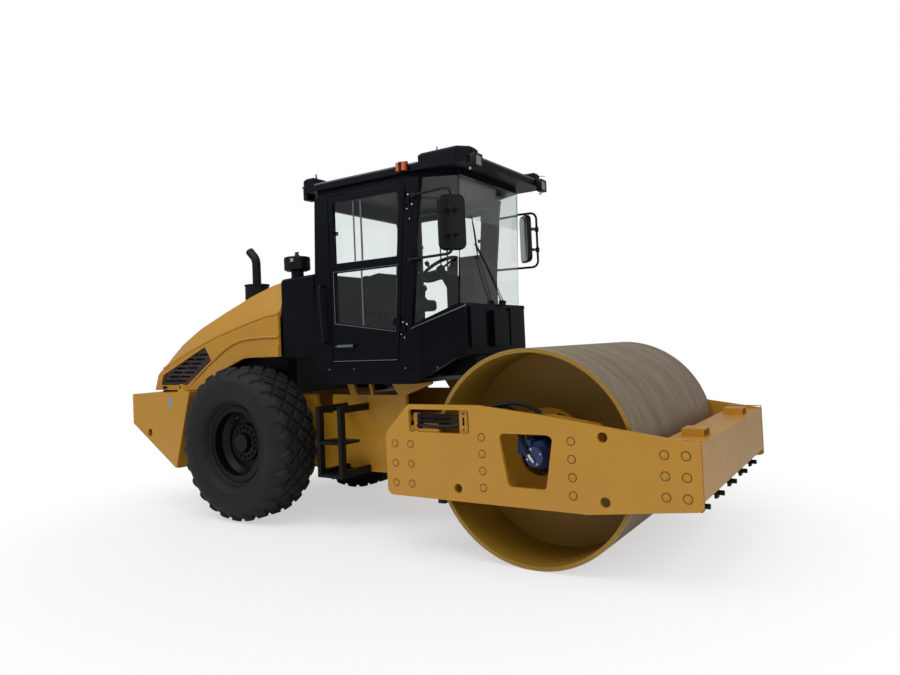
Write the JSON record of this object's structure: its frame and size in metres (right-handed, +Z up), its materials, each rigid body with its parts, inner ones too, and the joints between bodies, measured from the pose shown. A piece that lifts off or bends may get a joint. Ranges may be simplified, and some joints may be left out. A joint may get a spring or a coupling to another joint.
{
  "type": "road roller",
  "caption": "Articulated single-drum soil compactor: smooth steel drum in a frame of thick side plates, hinged to a tractor unit with a cab, a sloping engine hood and wide tyres.",
  "frame": {"origin": "on the ground below the middle of the machine's length and width", "axes": "+X forward towards the drum, +Y to the machine's left, +Z up"},
  "size_m": [5.92, 2.26, 3.165],
  "materials": {
    "yellow_paint": "gloss enamel",
    "cab_paint": "satin enamel",
    "black_steel": "satin enamel",
    "drum_steel": "rolled and worn, light rust",
    "rim_paint": "satin enamel",
    "tyre_rubber": "matt",
    "buffer_rubber": "matt",
    "hose_rubber": "matt",
    "motor_paint": "gloss enamel",
    "engine_iron": "painted casting",
    "black_mesh": "satin",
    "black_plastic": "moulded",
    "lamp_glass": "clear lens",
    "amber_plastic": "ribbed lens",
    "red_plastic": "ribbed lens",
    "cab_glass": "clear",
    "seat_fabric": "woven",
    "rod_chrome": "ground"
  },
  "bodies": {
    "tractor": {"rear_frame": "yellow_paint", "rear_axle": "black_steel", "ballast": "yellow_paint", "tail_lamps": "red_plastic", "engine": "engine_iron", "cowl": "cab_paint", "precleaner": "black_plastic", "cab_floor": "cab_paint", "cab_frame": "cab_paint", "cab_nose": "cab_paint", "cab_roof": "cab_paint", "roof_lamps": "lamp_glass", "indicators": "amber_plastic", "windows": "cab_glass", "console": "black_plastic", "steering_wheel": "black_plastic", "seat": "seat_fabric", "cab_mounts": "yellow_paint", "ladders": "black_steel", "mirrors": "black_plastic", "grab_rails": "black_steel"},
    "hood_lid": {"hood": "yellow_paint", "hood_grilles": "black_mesh", "exhaust": "black_steel"},
    "door_right_leaf": {"door_right": "cab_paint", "door_glass_right": "cab_glass"},
    "door_left_leaf": {"door_left": "cab_paint", "door_glass_left": "cab_glass"},
    "wheel_right": {"tyre_right": "tyre_rubber", "rim_right": "rim_paint"},
    "wheel_left": {"tyre_left": "tyre_rubber", "rim_left": "rim_paint"},
    "yoke": {"centre_yoke": "yellow_paint"},
    "drum_frame": {"side_plates": "yellow_paint", "front_beam": "yellow_paint", "rear_beam": "yellow_paint", "scrapers": "black_steel", "drum_carriers": "yellow_paint", "drum_hubs": "yellow_paint", "drum_buffers": "buffer_rubber", "drum_motors": "motor_paint", "front_hoses": "hose_rubber"},
    "drum": {"drum_shell": "drum_steel"},
    "cylinder_right": {"steering_cylinder_right": "black_steel"},
    "cylinder_left": {"steering_cylinder_left": "black_steel"},
    "rod_right": {"steering_rod_right": "rod_chrome"},
    "rod_left": {"steering_rod_left": "rod_chrome"}
  },
  "joints": [
    {"name": "steering", "type": "hinge", "parent": "tractor", "child": "yoke", "pos_m": [0.3, 0, 0.745], "axis": [0, 0, 1], "range_deg": [-33, 33]},
    {"name": "frame_swing", "type": "hinge", "parent": "yoke", "child": "drum_frame", "pos_m": [0.6, 0, 0.745], "axis": [1, 0, 0], "range_deg": [-10, 10]},
    {"name": "drum_roll", "type": "hinge", "parent": "drum_frame", "child": "drum", "pos_m": [1.8, 0, 0.7675], "axis": [0, 1, 0], "continuous": true},
    {"name": "wheel_right_roll", "type": "hinge", "parent": "tractor", "child": "wheel_right", "pos_m": [-1.28, -0.84, 0.725], "axis": [0, 1, 0], "continuous": true},
    {"name": "wheel_left_roll", "type": "hinge", "parent": "tractor", "child": "wheel_left", "pos_m": [-1.28, 0.84, 0.725], "axis": [0, 1, 0], "continuous": true},
    {"name": "door_right_swing", "type": "hinge", "parent": "tractor", "child": "door_right_leaf", "pos_m": [0.53532, -0.732, 2.2], "axis": [0.0902, 0, 0.9959], "range_deg": [0, 78]},
    {"name": "door_left_swing", "type": "hinge", "parent": "tractor", "child": "door_left_leaf", "pos_m": [0.53532, 0.732, 2.2], "axis": [0.0902, 0, 0.9959], "range_deg": [-78, 0]},
    {"name": "hood_lift", "type": "hinge", "parent": "tractor", "child": "hood_lid", "pos_m": [-0.905, 0, 2.245], "axis": [0, 1, 0], "range_deg": [0, 50]},
    {"name": "cylinder_right_swing", "type": "hinge", "parent": "tractor", "child": "cylinder_right", "pos_m": [-0.3, -0.3, 0.745], "axis": [0, 0, 1], "range_deg": [-6.5, 6.5]},
    {"name": "rod_right_slide", "type": "slide", "parent": "cylinder_right", "child": "rod_right", "axis": [0.9979, 0.0648, 0], "range_m": [-0.15, 0.15]},
    {"name": "cylinder_left_swing", "type": "hinge", "parent": "tractor", "child": "cylinder_left", "pos_m": [-0.3, 0.3, 0.745], "axis": [0, 0, 1], "range_deg": [-6.5, 6.5]},
    {"name": "rod_left_slide", "type": "slide", "parent": "cylinder_left", "child": "rod_left", "axis": [0.9979, -0.0648, 0], "range_m": [-0.15, 0.15]}
  ],
  "couplings": [
    {"joint": "cylinder_right_swing", "follows": "steering", "ratio": 0.182},
    {"joint": "rod_right_slide", "follows": "steering", "m_per_rad": 0.2532},
    {"joint": "cylinder_left_swing", "follows": "steering", "ratio": 0.182},
    {"joint": "rod_left_slide", "follows": "steering", "m_per_rad": -0.2532}
  ]
}
